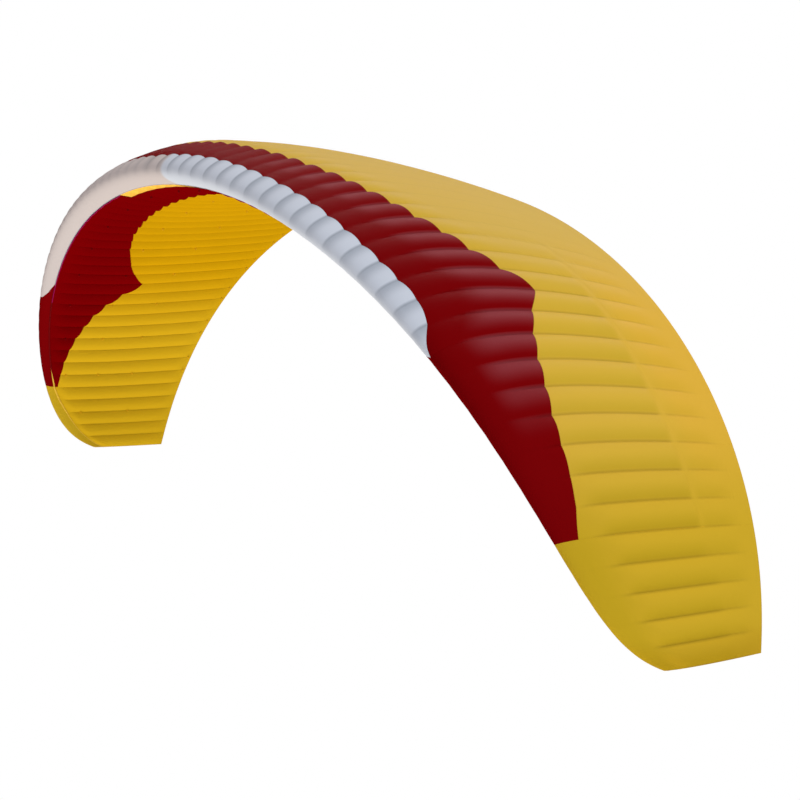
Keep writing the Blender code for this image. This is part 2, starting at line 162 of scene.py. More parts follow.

# Painted shade in the creases along the ribs, and other painted shades, from 0 to 1
CREASE_RISE = (0.26, 0.42)  # in u, above
TIP_ADVANCE = 0.15          # that rise starts so much earlier near the tips
LOWER_CREASE = 0.9
LOWER_CREASE_RISE = (0.06, 0.30)    # shares of the chord
LOWER_CREASE_FALL = (0.95, 1.0)     # to half, at the hem
NOSE_CREASE_RISE = (-0.10, 0.16)    # in u
CROWN_SEAM = 0.18           # how dark the yellow above's seams are on the smooth crown
LEE_WIDTH = 0.12            # of the painted soft shade beside a crease
ROLL_RIBS = (15, 20)        # it shows above only beyond these
TIP_SHADE_RIBS = (23, 27)   # the front of the yellow above gets a painted shade, growing between these
TIP_SHADE_FALL = (0.26, 0.54)       # in u
# The red above has a painted sheen on the inner part of each cell, towards its back
PAINTED_SHEEN_RIBS = ((5, 9), (20, 23))     # grows between the first two, and falls between the others
PAINTED_SHEEN_RISE = (0.26, 0.54)   # shares of the red's width
PAINTED_SHEEN_DELAYS = ((0.12, (5, 12)), (0.10, (16, 20)))  # later in these widening cells
PAINTED_SHEEN_FALL = (0.20, 0.85)   # shares of a cell's width

# Painted shade: how dark a cloth is in its creases, and the strength and tone of the soft shade
# painted beside them
CREASES = {
    "white": (0.86, 1.0, (0.65, 0.67, 0.69)),
    "yellow": (0.76, 0.60, (0.80, 0.84, 0.40)),
    "yellow_below": (0.78, 0.35, (0.78, 0.78, 0.78)),
}
PLAIN_CREASES = (0.74, 0.0, (1.0, 1.0, 1.0))
HAZES = {"red": 0.35, "yellow": 0.6}    # share of the haze that a cloth shows
# Cloth whose tone changes along an axis, as painted light and shade: the axis, where the change
# starts and ends, and the tone it changes to
TINTS = {
    "yellow": (
        (1, 0.75, 1.15, "yellow_hem"), (2, -1.4, -2.2, "yellow_tip"),
        (2, -1.0, -0.3, "yellow_crown"), (2, -2.62, -2.86, "yellow_end"),
    ),
    "yellow_below": ((2, -0.7, -1.7, "yellow_low"),),
    "white": ((0, 0.34, 0.26, "white_right"),),
}
PALER = 1.12                # worn cloth and single threads against the cloth's own colour
WEAR_SCALE = 0.9
WEAR_RANGE = (0.35, 0.65)   # of the noise that spreads it
WEAR_MOST = 0.35
SEAM_REACH = 0.016          # a crease's painted shade is this wide on each side of its rib
HEM_REACH = 0.008
HEM_SHADE = 0.5
THREAD_WIDTH = 0.12         # share of a square of the weave
THREAD_TONE = 0.10
THREAD_RELIEF = 0.02
PUCKER_SCALE = (9, 26, 1)
PUCKER_REACH = 0.06         # puckers run out this far from a rib,
PUCKER_LEAST = 0.08         # down to this share
PUCKER_HEIGHT = 0.01

# Rows of faces along the chord
WHITE_ROWS = 20
RED_NOSE_ROWS = 10
RED_ROWS = 22
YELLOW_ROWS = 20
RIDGE_ROWS = 8
RED_BELOW_ROWS = 18
YELLOW_BELOW_ROWS = 22
TIP_NOSE_ROWS = 16
TIP_ROWS = 34
TIP_BELOW_ROWS = 30
TRAILING_ROWS = 16

SEAM_GAP = 0.0003           # left where two cloths meet at a rib
TIP_RIB_ROWS = 31           # above and below
TIP_RIB_INSETS = (0.0, 0.010, 0.030)    # its rim and the turned in part of it
TIP_RIB_INSET_SHARE = 0.9   # of those, at the nose; none at the hem
TIP_RIB_HEIGHT = 0.09

# Piping: radius of the cords sewn into the seams
PIPING = 0.0030
LOWER_PIPING = 0.0052
LOWER_PIPING_IN = 0.0035    # how far it stands into the slot, in u
PINK_END_RIB = 19           # the lower piping is magenta up to here
TIP_PIPING = 0.0085
TIP_PIPING_LEAST = 0.0012
TIP_PIPING_RIB = SLOT_END_RIB - 2.2     # where it starts, in the slot's last cells
TIP_PIPING_FALL = (27, 29.5)            # it thins between these ribs
TIP_PIPING_THINNING = 0.8
# The tip piping glows in its own colour: painted light
TIP_PIPING_GLOW = 0.25
PIPING_STEPS = 4            # in a cell

# Sewn line tabs: rows as shares of the chord
TAB_ROWS = (0.14, 0.36, 0.60)
TAB_RIBS = (1, 4, 7, 10, 13, 16, 19, 22, 25)
TIP_TAB_ROWS = (0.20, 0.60)
TIP_TAB_RIB = 28
BRAKE_TAB_AT = 0.975
TAB_WIDTH = 0.016
TAB_DROP = 0.026
TAB_LOOP = 0.0032           # radius of a tab's round end
TAB_FACES = 14
TAB_NECK = 1.6              # its foot starts so many radii below its end
TAB_PINCH = 0.5             # its foot against that end
TAB_SMOOTH = math.radians(40)   # sharper folds than this stay sharp
TAPE_THICKNESS = 0.0011
TAPE_GLOW = 0.35            # daylight that comes through the thin tape

# Rib film in the slot. Each relief is the strength and distance of a bump
FILM_ROUGHNESS = 0.4
FILM_STREAKS = (2, 40, 40)
STREAK_RANGE = (0.3, 0.7)   # of the noise that makes the streaks
STREAK_MOST = 0.25
FILM_RELIEF = (0.2, 0.002)
FILM_GLOW = 0.55
SUN_ENDS = (0.10, 0.40)     # the sun that shines into the wide slot fades out between these X
SUN_STARTS = (-0.06, -0.03)     # and fades in between these, from the wide slot's end

# Braid of the tapes and cords
BRAID_ROUGHNESS = 0.7
BRAID_GLOSS = 0.10
BRAID_SCALE = 160
BRAID_DISTORTION = 1.5
BRAID_DEEP = 0.88           # tone between its threads
BRAID_RELIEF = (0.4, 0.001)

# Grid of a material's nodes
NODE_ROWS = 5
NODE_START = -2200
NODE_STEP = 260

# Stage: sky tones to the right and left, shades from below and above, and its broad lights
FLOOR_RADIUS = 80
FLOOR_SIDES = 96
BACKDROP_RADIUS = 85
BACKDROP_FACES = (64, 32)   # round it and up it
SKY_TONES = ((0.90, 0.69, 0.60), (1.13, 1.25, 1.48))
SKY_SHADES = ((0.60, 0.59, 0.57), (0.84, 0.84, 0.84))
SKY_WIDTH = 0.6             # the tones change where a direction's X is within this of 0,
SKY_HEIGHT = 0.7            # and the shades where its Z is within this
LIGHT_SPREAD = math.radians(50)
FRAME_WIDTH = 36.0          # of the camera, in mm
SIGHT = 400.0               # how far it sees
# Name of each light and of its strength, where it comes from, colour, and what ignores it
LIGHTS = (
    ("key_light", (0.74, 0.15, 0.65), (1.0, 0.98, 0.95), "glossy"),
    ("haze_light", (-0.62, 0.46, 0.64), (1.0, 1.0, 1.0), "diffuse"),
    ("bounce_light", (0.08, -0.20, -1.0), (1.0, 0.96, 0.88), "glossy"),
)


def polynomial(terms, t):
    return sum(factor * t**power for power, factor in terms)


def between_ribs(at_rib):
    """Makes a function of whole ribs run straight from rib to rib."""

    def at(rib):
        low = math.floor(rib)
        share = rib - low
        return at_rib(low) if share == 0 else (
            (1 - share) * at_rib(low) + share * at_rib(low + 1)
        )

    return at


@between_ribs
def rib_t(rib):
    """Share of the half span at a rib."""
    share = abs(rib) / CELLS_PER_HALF
    square, fourth = CELL_NARROWING
    t = share * (1 + square * (1 - share**2) + fourth * (1 - share**4))
    return math.copysign(t, rib)


ARC_T = np.linspace(0, 1, 1201)
ARC_STEP = ARC_T[1] * HALF_SPAN
ARC_ANGLE = polynomial(ARC_ROLL, ARC_T)


def running_sum(values):
    middles = (values[1:] + values[:-1]) / 2
    return np.concatenate([[0.0], np.cumsum(middles) * ARC_STEP])


ARC_X = running_sum(np.cos(ARC_ANGLE))
ARC_Z = -running_sum(np.sin(ARC_ANGLE))


def chord_line(t):
    """X, Z and roll of the chord line, and its leading and trailing Y."""
    size = abs(t)
    x = math.copysign(np.interp(size, ARC_T, ARC_X), t)
    z = np.interp(size, ARC_T, ARC_Z)
    roll = math.copysign(polynomial(ARC_ROLL, size), t)
    leading = -NOSE_TO_ORIGIN + polynomial(LEADING_SWEEP, size)
    trailing = ROOT_CHORD - NOSE_TO_ORIGIN + polynomial(TRAILING_SWEEP, size)
    return x, z, roll, leading, trailing


def aerofoil(u, t, chord):
    """Places along and above the chord line, in metres, before the twist."""
    share = u * u
    ahead = CAMBER / CAMBER_PLACE**2 * (2 * CAMBER_PLACE * share - share**2)
    behind = CAMBER / (1 - CAMBER_PLACE) ** 2 * (
        1 - 2 * CAMBER_PLACE + 2 * CAMBER_PLACE * share - share**2
    )
    middle = np.where(share < CAMBER_PLACE, ahead, behind)
    # The usual thickness form of an aerofoil with four digits
    half = 5 * THICKNESS * (
        0.2969 * u
        - np.sign(u) * (0.1260 * share + 0.3516 * share**2 - 0.2843 * share**3 + 0.1036 * share**4)
    )
    thin = 1 - TIP_THINNING * t**4
    hem = np.sign(u) * HEM_HALF * share
    return share * chord, (middle + half) * thin * chord + hem


def section(t, u, depth=0.0):
    """Points of the section at t, depth metres inside the cloth's outer face."""
    u = np.asarray(u, float)
    x, z, roll, leading, trailing = chord_line(t)
    chord = trailing - leading
    step = 1e-4
    along, above = aerofoil(u, t, chord)
    along_next, above_next = aerofoil(u + step, t, chord)
    along_last, above_last = aerofoil(u - step, t, chord)
    tangent = np.stack([along_next - along_last, above_next - above_last])
    tangent = tangent / np.linalg.norm(tangent, axis=0)
    along = along + depth * tangent[1]
    above = above - depth * tangent[0]
    twist = polynomial(TWIST, abs(t))
    pivot = TWIST_PIVOT * chord
    back = pivot + (along - pivot) * math.cos(twist) + above * math.sin(twist)
    up = (along - pivot) * math.sin(twist) + above * math.cos(twist)
    return np.stack([x + up * math.sin(roll), leading + back, z + up * math.cos(roll)], -1)


def cell_width(rib):
    low = math.floor(rib)
    return abs(rib_t(low + 1) - rib_t(low)) * HALF_SPAN


def ease(low, high, value):
    """0 below low, 1 above high, and smooth between them."""
    share = np.clip((value - low) / (high - low), 0, 1)
    return share * share * (3 - 2 * share)


def past_rib(rib):
    """Place in a cell, from 0 at its rib on the right to 1."""
    return rib - math.floor(rib)


def inner_share(rib):
    """Place in a cell, from 0 at its rib nearer the middle to 1."""
    return past_rib(rib) if rib >= 0 else 1 - past_rib(rib)


def arch(rib):
    """0 at the ribs, and 1 midway between two."""
    return 4 * past_rib(rib) * (1 - past_rib(rib))


def u_below(share):
    """u below the chord line, at a share of the chord."""
    return -math.sqrt(share)


def colour_edge(column, rib):
    ribs = [row[0] for row in COLOUR_EDGES]
    shares = [row[column] for row in COLOUR_EDGES]
    return math.sqrt(np.interp(abs(rib), ribs, shares))


@between_ribs
def lip_above(rib):
    return np.interp(abs(rib), *zip(*[row[:2] for row in SLOT_LIPS]))


@between_ribs
def lip_below(rib):
    return np.interp(abs(rib), *zip(*[row[::2] for row in SLOT_LIPS]))


def tip_seam(rib):
    return np.interp(abs(rib), *zip(*TIP_SEAM))


def front_lip(rib):
    """Where the cloth above ends and the cloth below begins."""
    if abs(rib) > SLOT_END_RIB:
        return tip_seam(rib)
    return (lip_above(rib) + lip_below(rib)) / 2


def white_foot(rib):
    """Lower edge of the white band."""
    if abs(rib) <= WHITE_FOOT[0][0]:
        return lip_above(rib)
    return np.interp(abs(rib), *zip(*WHITE_FOOT))


@between_ribs
def white_seam(rib):
    """Back edge of the white band at the ribs."""
    return colour_edge(1, rib) * (1 - RIGHT_TRIM * ease(*RIGHT_TRIM_RIBS, -rib))


def white_back(rib):
    """Scalloped back edge of the white band."""
    narrowing = 1 - ease(WHITE_END_RIB - 1, WHITE_END_RIB, abs(rib))
    return white_seam(rib) + WHITE_SCALLOP * arch(rib) * narrowing


@between_ribs
def red_back_above(rib):
    return colour_edge(2, rib)


@between_ribs
def red_back_below(rib):
    return -colour_edge(3, rib)


def ridge_mask(rib):
    """How much of the tight seam above shows at a rib."""
    near_end = 1 - ease(SLOT_END_RIB - 1, SLOT_END_RIB + 2, abs(rib))
    return ease(*RIDGE_RIBS, abs(rib)) * near_end


def beside_pull(share, width):
    """1 at the tight seam above, and less away from it."""
    return np.exp(-(((share - PULL_AT) / width) ** 2))


def right_calm(rib):
    """The white band's right half is smoother."""
    return 1 - RIGHT_CALM * ease(*RIGHT_CALM_RIBS, -rib)


def swell(rib, u):
    """How full a cell is at u, from 0 where its cloth is pulled flat to 1."""
    return np.where(u > front_lip(rib), swell_above(rib, u), swell_below(rib, u * u))


def swell_above(rib, u):
    share = u * u
    outer = ease(*NOSE_RIBS, abs(rib))
    nose = NOSE_LEAST + NOSE_SWELL * (1 - outer) * right_calm(rib) * ease(*NOSE_RISE, u)
    rise = ease(ABOVE_RISE[0] + TIP_DELAY * outer, ABOVE_RISE[1], u)
    pull = 1 - PULL_DEPTH * ridge_mask(rib) * beside_pull(share, PULL_WIDTH)
    edge = red_back_above(rib)
    crown = CROWN_CALM * (1 - ease(*CROWN_RIBS, abs(rib))) * ease(edge, edge + CROWN_REACH, u)
    back = BACK_CALM * ease(*BACK_SHARES, share)
    return (
        (nose + (1 - nose) * rise) * pull * (1 - back) * (1 - crown)
        * (1 - ease(*HEM_FLAT, share))
    )


def swell_below(rib, share):
    lip = WIDE_LIP_BELOW if abs(rib) < CENTRE_RIB else front_lip(rib)
    narrow_slot = CENTRE_RIB < abs(rib) < SLOT_END_RIB - 1
    front = NARROW_SLOT_SWELL if narrow_slot else LOWER_SWELL
    rise = ease(lip * lip, lip * lip + BELOW_RISE, share)
    return (front + (1 - front) * rise) * (1 - ease(*HEM_FLAT_BELOW, share))


def crest(rib, u, billow):
    """How far the cloth stands out from the line between the ribs."""
    bulge = arch(rib) * billow * cell_width(rib)
    at_rib = RIDGE_LEAST + (1 - RIDGE_LEAST) * math.cos(math.pi * past_rib(rib)) ** 2
    ridge = RIDGE_HEIGHT * at_rib * ridge_mask(rib) * beside_pull(u * u, RIDGE_WIDTH) * (u > 0)
    return bulge * swell(rib, u) + ridge


def cloth(rib, u, billow):
    """Points of the cloth at a rib or between two ribs."""
    u = np.asarray(u, float)
    return section(rib_t(rib), u, -crest(rib, u, billow))


def crease_mark(rib, u):
    """How dark the painted shade in the crease at a rib is, from 0 to 1."""
    fall = 1 - 0.5 * ease(*LOWER_CREASE_FALL, u * u)
    below = LOWER_CREASE * ease(*LOWER_CREASE_RISE, u * u) * fall
    earlier = TIP_ADVANCE * ease(*NOSE_RIBS, abs(rib))
    above = ease(CREASE_RISE[0] - earlier, CREASE_RISE[1] - earlier, u) * swell(rib, u)
    return np.where(u > 0, above, below)


def crown_mark(rib, u):
    """Only the thin seams of the yellow above show on the smooth crown."""
    creases = crease_mark(rib, u) * ease(*CROWN_RIBS, abs(rib))
    return np.maximum(creases, CROWN_SEAM * ease(*CREASE_RISE, u))


def nose_mark(rib, u):
    """The painted shade in the white band's creases fades out down the nose."""
    return ease(*NOSE_CREASE_RISE, u) * right_calm(rib)


def painted_sheen_amount(rib, u):
    """How strong the painted sheen on the red above is, from 0 to 1."""
    front, back = white_back(rib), red_back_above(rib)
    later = sum(delay * ease(*ribs, abs(rib)) for delay, ribs in PAINTED_SHEEN_DELAYS)
    along = ease(PAINTED_SHEEN_RISE[0] + later, PAINTED_SHEEN_RISE[1] + later, (u - front) / (back - front))
    rise, fall = PAINTED_SHEEN_RIBS
    ribs = ease(*rise, abs(rib)) * (1 - ease(*fall, abs(rib)))
    return along * ribs * (1 - ease(*PAINTED_SHEEN_FALL, inner_share(rib)))


def tip_shade(rib, u):
    """The closed cells above get a painted shade towards their front, which turns from the light.
    """
    front = (1 - ease(*TIP_SHADE_FALL, u)) * (u > front_lip(rib) - 1e-6)
    return front * ease(*TIP_SHADE_RIBS, abs(rib))


def same(u):
    return lambda rib: u


def spread(*edges_and_counts):
    """A function of the rib that gives the rows of points between several edges."""
    edges, counts = edges_and_counts[::2], edges_and_counts[1::2]

    def rows(rib):
        at = [edge(rib) for edge in edges]
        parts = [np.linspace(a, b, count + 1) for a, b, count in zip(at, at[1:], counts)]
        return np.concatenate([parts[0], *[part[1:] for part in parts[1:]]])

    return rows


def strip_form(first, last, rows, canopy):
    """The lines of points of one strip of cloth, as a list of (rib, cell width, u, points), with
    how far along and across the flat cut they lie, and the cut's area."""
    places = np.linspace(first, last, round((last - first) * canopy.steps_per_cell) + 1)
    widths = [cell_width(min(rib, last - 0.5)) for rib in places]
    trims = np.zeros(len(places))
    trims[0], trims[-1] = SEAM_GAP / 2, -SEAM_GAP / 2
    u = [rows(rib) for rib in places]
    lines = [
        (rib, width, line, cloth(rib + trim / width, line, canopy.billow))
        for rib, trim, width, line in zip(places, trims, widths, u)
    ]
    flat = np.array([section(rib_t(rib), line) for rib, line in zip(places, u)])
    steps = np.linalg.norm(np.diff(flat, axis=1), axis=2)
    along = np.concatenate([np.zeros((len(flat), 1)), np.cumsum(steps, axis=1)], axis=1)
    across = np.array([rib_t(rib) for rib in places]) * HALF_SPAN
    area = float(np.sum(np.diff(across)[:, None] * (steps[1:] + steps[:-1]) / 2))
    return lines, along, across, area


def point_values(rib, width, u, along, mark):
    """What the finish reads at each point of a line: distances in metres, and painted shades and
    sheen from 0 to 1.
    """
    share = inner_share(rib)
    marks = mark(rib, u)
    above = (u > 0) & (mark is not nose_mark)
    rolls = np.where(above, ease(*ROLL_RIBS, abs(rib)), 1.0)
    beside = np.where(above, 1 - share, share) * width
    lee = marks * rolls * (1 - ease(0, LEE_WIDTH, beside))
    ends = [end for end in (0, -1) if abs(u[end] ** 2 - TRAILING_SEAM) > 1e-6]
    edges = [*along[ends], *along[np.abs(u) == 1]] or [1.0]
    return {
        "from_rib": np.full(len(u), min(share, 1 - share) * width),
        "from_edge": np.min([np.abs(along - edge) for edge in edges], axis=0),
        "lee": np.maximum(lee, tip_shade(rib, u)),
        "fold": marks,
        "faded": painted_sheen_amount(rib, u),
    }


def sheet_from(name, strips, canopy, folded=False, closed_sides=False, mark=crease_mark):
    """One sheet of cloth from strips that share their edges, its flat area and its length.

    A strip is (first rib, last rib, rows), where rows gives its rows of points at a rib.
    A folded strip goes round the hem, and its cloth below has the second material. With
    closed_sides, each of its sides is closed by a rib. The mark says how dark the painted shade in
    its creases is.
    """
    bm = bmesh.new()
    uv = bm.loops.layers.uv.new("cloth")
    layers = {
        key: bm.verts.layers.float.new(key)
        for key in ("from_rib", "from_edge", "lee", "fold", "faded")
    }
    flat_area, longest = 0.0, 0.0
    for strip in strips:
        lines, along, across, area = strip_form(*strip, canopy)
        flat_area += area
        longest = max(longest, float(along.max()))
        columns = []
        for (rib, width, u, points), run in zip(lines, along):
            column = [bm.verts.new(point) for point in points]
            values = point_values(rib, width, u, run, mark)
            for key, layer in layers.items():
                for vert, value in zip(column, values[key]):
                    vert[layer] = value
            columns.append(column)
        for i in range(len(columns) - 1):
            for j in range(len(columns[0]) - 1):
                corners = ((i, j), (i + 1, j), (i + 1, j + 1), (i, j + 1))
                face = bm.faces.new([columns[a][b] for a, b in corners])
                face.material_index = int(folded and lines[i][2][j + 1] < 0)
                for loop, (a, b) in zip(face.loops, corners):
                    loop[uv].uv = (across[a], along[a, b])
        if closed_sides:
            close_side(bm, uv, columns[0], 1)
            close_side(bm, uv, columns[-1], -1)
    bmesh.ops.remove_doubles(bm, verts=bm.verts, dist=1e-5)
    bmesh.ops.dissolve_degenerate(bm, edges=bm.edges, dist=1e-6)
    return object_from(bm, name), flat_area, longest


def close_side(bm, uv, column, turn):
    """The rib that closes a folded strip's side."""
    for j in range(len(column) // 2 - 1):
        ring = (column[j], column[j + 1], column[-2 - j], column[-1 - j])
        face = bm.faces.new(ring[::turn])
        for loop in face.loops:
            loop[uv].uv = (loop.vert.co.y, loop.vert.co.z)


def object_from(bm, name):
    """A linked object with the bmesh's faces."""
    mesh = bpy.data.meshes.new(name)
    bm.to_mesh(mesh)
    bm.free()
    return linked(bpy.data.objects.new(name, mesh))


def linked(item):
    bpy.context.scene.collection.objects.link(item)
    return item


def only(item):
    """Selects one object and makes it active."""
    for other in bpy.context.selected_objects:
        other.select_set(False)
    item.select_set(True)
    bpy.context.view_layer.objects.active = item


def apply_modifiers(item):
    only(item)
    for modifier in list(item.modifiers):
        bpy.ops.object.modifier_apply(modifier=modifier.name)


def finish_cloth(item, canopy, *colours):
    """Gives a sheet its thickness, inwards, and its materials outside and inside."""
    for ending in ("ripstop", "ripstop_inside"):
        for colour in colours:
            item.data.materials.append(finish_for(f"{colour}_{ending}", canopy))
    wall = item.modifiers.new("cloth_thickness", "SOLIDIFY")
    wall.thickness = canopy.cloth_thickness
    wall.offset = -1
    wall.material_offset = len(colours)
    apply_modifiers(item)
    bpy.ops.object.shade_smooth_by_angle(angle=canopy.crease_angle)


def declare_sheet(item, flat, area, nodes):
    if nodes:
        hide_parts(*nodes)


def span_between(first, last):
    return (rib_t(last) - rib_t(first)) * HALF_SPAN


def dress(name, strips, colours, nodes, canopy, mark=crease_mark):
    """Makes and finishes one sheet that is stretched between the ribs, attaches it to the root,
    and hides the given solid parts.
    """
    item, area, longest = sheet_from(name, strips, canopy, len(colours) > 1, mark=mark)
    finish_cloth(item, canopy, *colours)
    width = span_between(min(strip[0] for strip in strips), max(strip[1] for strip in strips))
    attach(item, "root")
    declare_sheet(item, (width, longest), area, nodes)


def new_node(tree, kind, **settings):
    """A node in the next place of a grid that runs towards the shader."""
    node = tree.nodes.new(kind)
    column, row = divmod(len(tree.nodes), NODE_ROWS)
    node.location = (NODE_START + column * NODE_STEP, -row * NODE_STEP)
    for key, value in settings.items():
        setattr(node, key, value)
    return node


def set_inputs(node, values):
    for name, value in values.items():
        node.inputs[name].default_value = value


def feed(tree, sockets, values):
    """Links each value that is a socket, and sets the others."""
    for socket, value in zip(sockets, values):
        if isinstance(value, bpy.types.NodeSocket):
            tree.links.new(value, socket)
        else:
            socket.default_value = value


def solid(colour):
    return (*colour, 1.0)


def attribute(tree, name):
    return new_node(tree, "ShaderNodeAttribute", attribute_name=name).outputs["Fac"]


def object_place(tree):
    return new_node(tree, "ShaderNodeTexCoord").outputs["Object"]


def axes_of(tree, vector):
    node = new_node(tree, "ShaderNodeSeparateXYZ")
    tree.links.new(vector, node.inputs[0])
    return node.outputs


def stretched(tree, vector, scale):
    node = new_node(tree, "ShaderNodeMapping")
    set_inputs(node, {"Scale": scale})
    tree.links.new(vector, node.inputs["Vector"])
    return node.outputs[0]


def noise(tree, vector, scale, detail):
    node = new_node(tree, "ShaderNodeTexNoise")
    set_inputs(node, {"Scale": scale, "Detail": detail})
    tree.links.new(vector, node.inputs["Vector"])
    return node.outputs["Fac"]


def maths(tree, operation, first, second):
    node = new_node(tree, "ShaderNodeMath", operation=operation)
    feed(tree, node.inputs, (first, second))
    return node.outputs[0]


def ranged(tree, value, low, high, start, end):
    """From start where the value is low to end where it is high, smoothly."""
    node = new_node(tree, "ShaderNodeMapRange", interpolation_type="SMOOTHSTEP")
    set_inputs(node, {"From Min": low, "From Max": high, "To Min": start, "To Max": end})
    tree.links.new(value, node.inputs["Value"])
    return node.outputs["Result"]


def mixed(tree, factor, first, second, blend_type="MIX"):
    node = new_node(tree, "ShaderNodeMix", data_type="RGBA", blend_type=blend_type)
    sockets = [s for s in node.inputs if s.name in ("Factor", "A", "B") and s.enabled]
    feed(tree, sockets, (factor, first, second))
    return next(s for s in node.outputs if s.enabled)


def new_finish(name, inputs):
    """A material with these inputs on its shader, its node tree and its shader."""
    finish = bpy.data.materials.new(name)
    finish.use_nodes = True
    tree = finish.node_tree
    shader = tree.nodes["Principled BSDF"]
    set_inputs(shader, inputs)
    return finish, tree, shader


def add_bump(tree, shader, height, strength, distance):
    bump = new_node(tree, "ShaderNodeBump")
    set_inputs(bump, {"Strength": strength, "Distance": distance})
    tree.links.new(height, bump.inputs["Height"])
    tree.links.new(bump.outputs[0], shader.inputs["Normal"])


def cloth_finish(name, kind, canopy, glow):
    """Coated ripstop nylon: weave, painted soft shade at the creases along the sewn ribs, puckers,
    a haze, and a painted glow of its own colour where it has one.
    """
    finish, tree, shader = new_finish(name, {
        "Roughness": canopy.roughness,
        "Specular IOR Level": canopy.gloss,
        "Coat Weight": canopy.haze * HAZES.get(kind, 0.0),
        "Coat Roughness": canopy.haze_roughness,
    })
    colour = getattr(canopy, kind)
    pale = solid([min(1.0, part * PALER) for part in colour])
    uv = new_node(tree, "ShaderNodeUVMap", uv_map="cloth").outputs[0]
    rib = attribute(tree, "from_rib")
    body = toned_cloth(tree, kind, solid(colour), pale, canopy)
    body = creased_cloth(tree, kind, body, rib)
    threads = weave(tree, uv, canopy.ripstop)
    body = mixed(tree, maths(tree, "MULTIPLY", threads, THREAD_TONE), body, pale)
    tree.links.new(body, shader.inputs["Base Color"])

    puckers = noise(tree, stretched(tree, uv, PUCKER_SCALE), 1.0, 2)
    near_rib = ranged(tree, rib, 0.0, PUCKER_REACH, 1.0, PUCKER_LEAST)
    pucker = maths(tree, "MULTIPLY", puckers, near_rib)
    relief = maths(tree, "ADD", pucker, maths(tree, "MULTIPLY", threads, THREAD_RELIEF))
    add_bump(tree, shader, relief, canopy.wrinkle, PUCKER_HEIGHT)
    if glow:
        tree.links.new(body, shader.inputs["Emission Color"])
        set_inputs(shader, {"Emission Strength": glow})
    return finish


def toned_cloth(tree, kind, tone, pale, canopy):
    """The cloth's own colour, worn in soft patches, with the painted light and shade of the tones
    it changes to, and the red's painted sheen.
    """
    place = object_place(tree)
    wear = ranged(tree, noise(tree, place, WEAR_SCALE, 3), *WEAR_RANGE, 0.0, WEAR_MOST)
    body = mixed(tree, wear, tone, pale)
    axes = axes_of(tree, place)
    for axis, start, end, tint in TINTS.get(kind, ()):
        share = ranged(tree, axes[axis], start, end, 0.0, 1.0)
        body = mixed(tree, share, body, solid(getattr(canopy, tint)))
    # Painted sheen: paler red where the sky's haze would shine on the cells above
    if kind == "red":
        body = mixed(tree, attribute(tree, "faded"), body, solid(canopy.red_faded))
    return body


def creased_cloth(tree, kind, body, rib):
    """Painted shade beside the creases and in the creases themselves, and the darker sewn edges.
    """
    dark, lee_strength, lee_tone = CREASES.get(kind, PLAIN_CREASES)
    dark = solid([dark] * 3)
    if lee_strength:
        lee = maths(tree, "MULTIPLY", attribute(tree, "lee"), lee_strength)
        body = mixed(tree, lee, body, solid(lee_tone), "MULTIPLY")
    # Painted shade along each rib, as strong as the crease's fold mark
    seam = ranged(tree, rib, 0.0, SEAM_REACH, 1.0, 0.0)
    seam = maths(tree, "MULTIPLY", seam, attribute(tree, "fold"))
    body = mixed(tree, seam, body, dark, "MULTIPLY")
    hem = ranged(tree, attribute(tree, "from_edge"), 0.0, HEM_REACH, HEM_SHADE, 0.0)
    return mixed(tree, hem, body, dark, "MULTIPLY")


def weave(tree, uv, square):
    """1 on the thicker threads that run both ways through the nylon, and 0 between them."""
    waves = [maths(tree, "PINGPONG", run, square / 2) for run in axes_of(tree, uv)[:2]]
    lines = [ranged(tree, wave, 0.0, square * THREAD_WIDTH, 1.0, 0.0) for wave in waves]
    return maths(tree, "MAXIMUM", *lines)


def finish_for(name, canopy):
    """A cloth finish by its name, made once."""
    made = bpy.data.materials.get(name)
    if made is not None:
        return made
    kind = name.removesuffix("_inside").removesuffix("_ripstop")
    outer = {"yellow_below": canopy.outer_glow, "white": canopy.white_glow}
    glow = canopy.inner_glow if name.endswith("_inside") else outer.get(kind, 0.0)
    return cloth_finish(name, kind, canopy, glow)


def film_finish(name, lit, dim):
    """Stiffened rib film: faint streaks, and daylight in the wide slot on the sunny side."""
    finish, tree, shader = new_finish(name, {"Roughness": FILM_ROUGHNESS})
    place = object_place(tree)
    x = axes_of(tree, place)[0]
    wall = chord_line(rib_t(-CENTRE_RIB))[0]
    inside = ranged(tree, x, *[wall + start for start in SUN_STARTS], 0.0, 1.0)
    sunny = maths(tree, "MULTIPLY", inside, ranged(tree, x, *SUN_ENDS, 1.0, 0.0))
    tone = mixed(tree, sunny, solid(dim), solid(lit))
    streaks = noise(tree, stretched(tree, place, FILM_STREAKS), 1.0, 2)
    streak = ranged(tree, streaks, *STREAK_RANGE, STREAK_MOST, 0.0)
    tree.links.new(mixed(tree, streak, tone, solid(dim)), shader.inputs["Base Color"])
    tree.links.new(tone, shader.inputs["Emission Color"])
    glow = maths(tree, "MULTIPLY", sunny, FILM_GLOW)
    tree.links.new(glow, shader.inputs["Emission Strength"])
    add_bump(tree, shader, streaks, *FILM_RELIEF)
    return finish


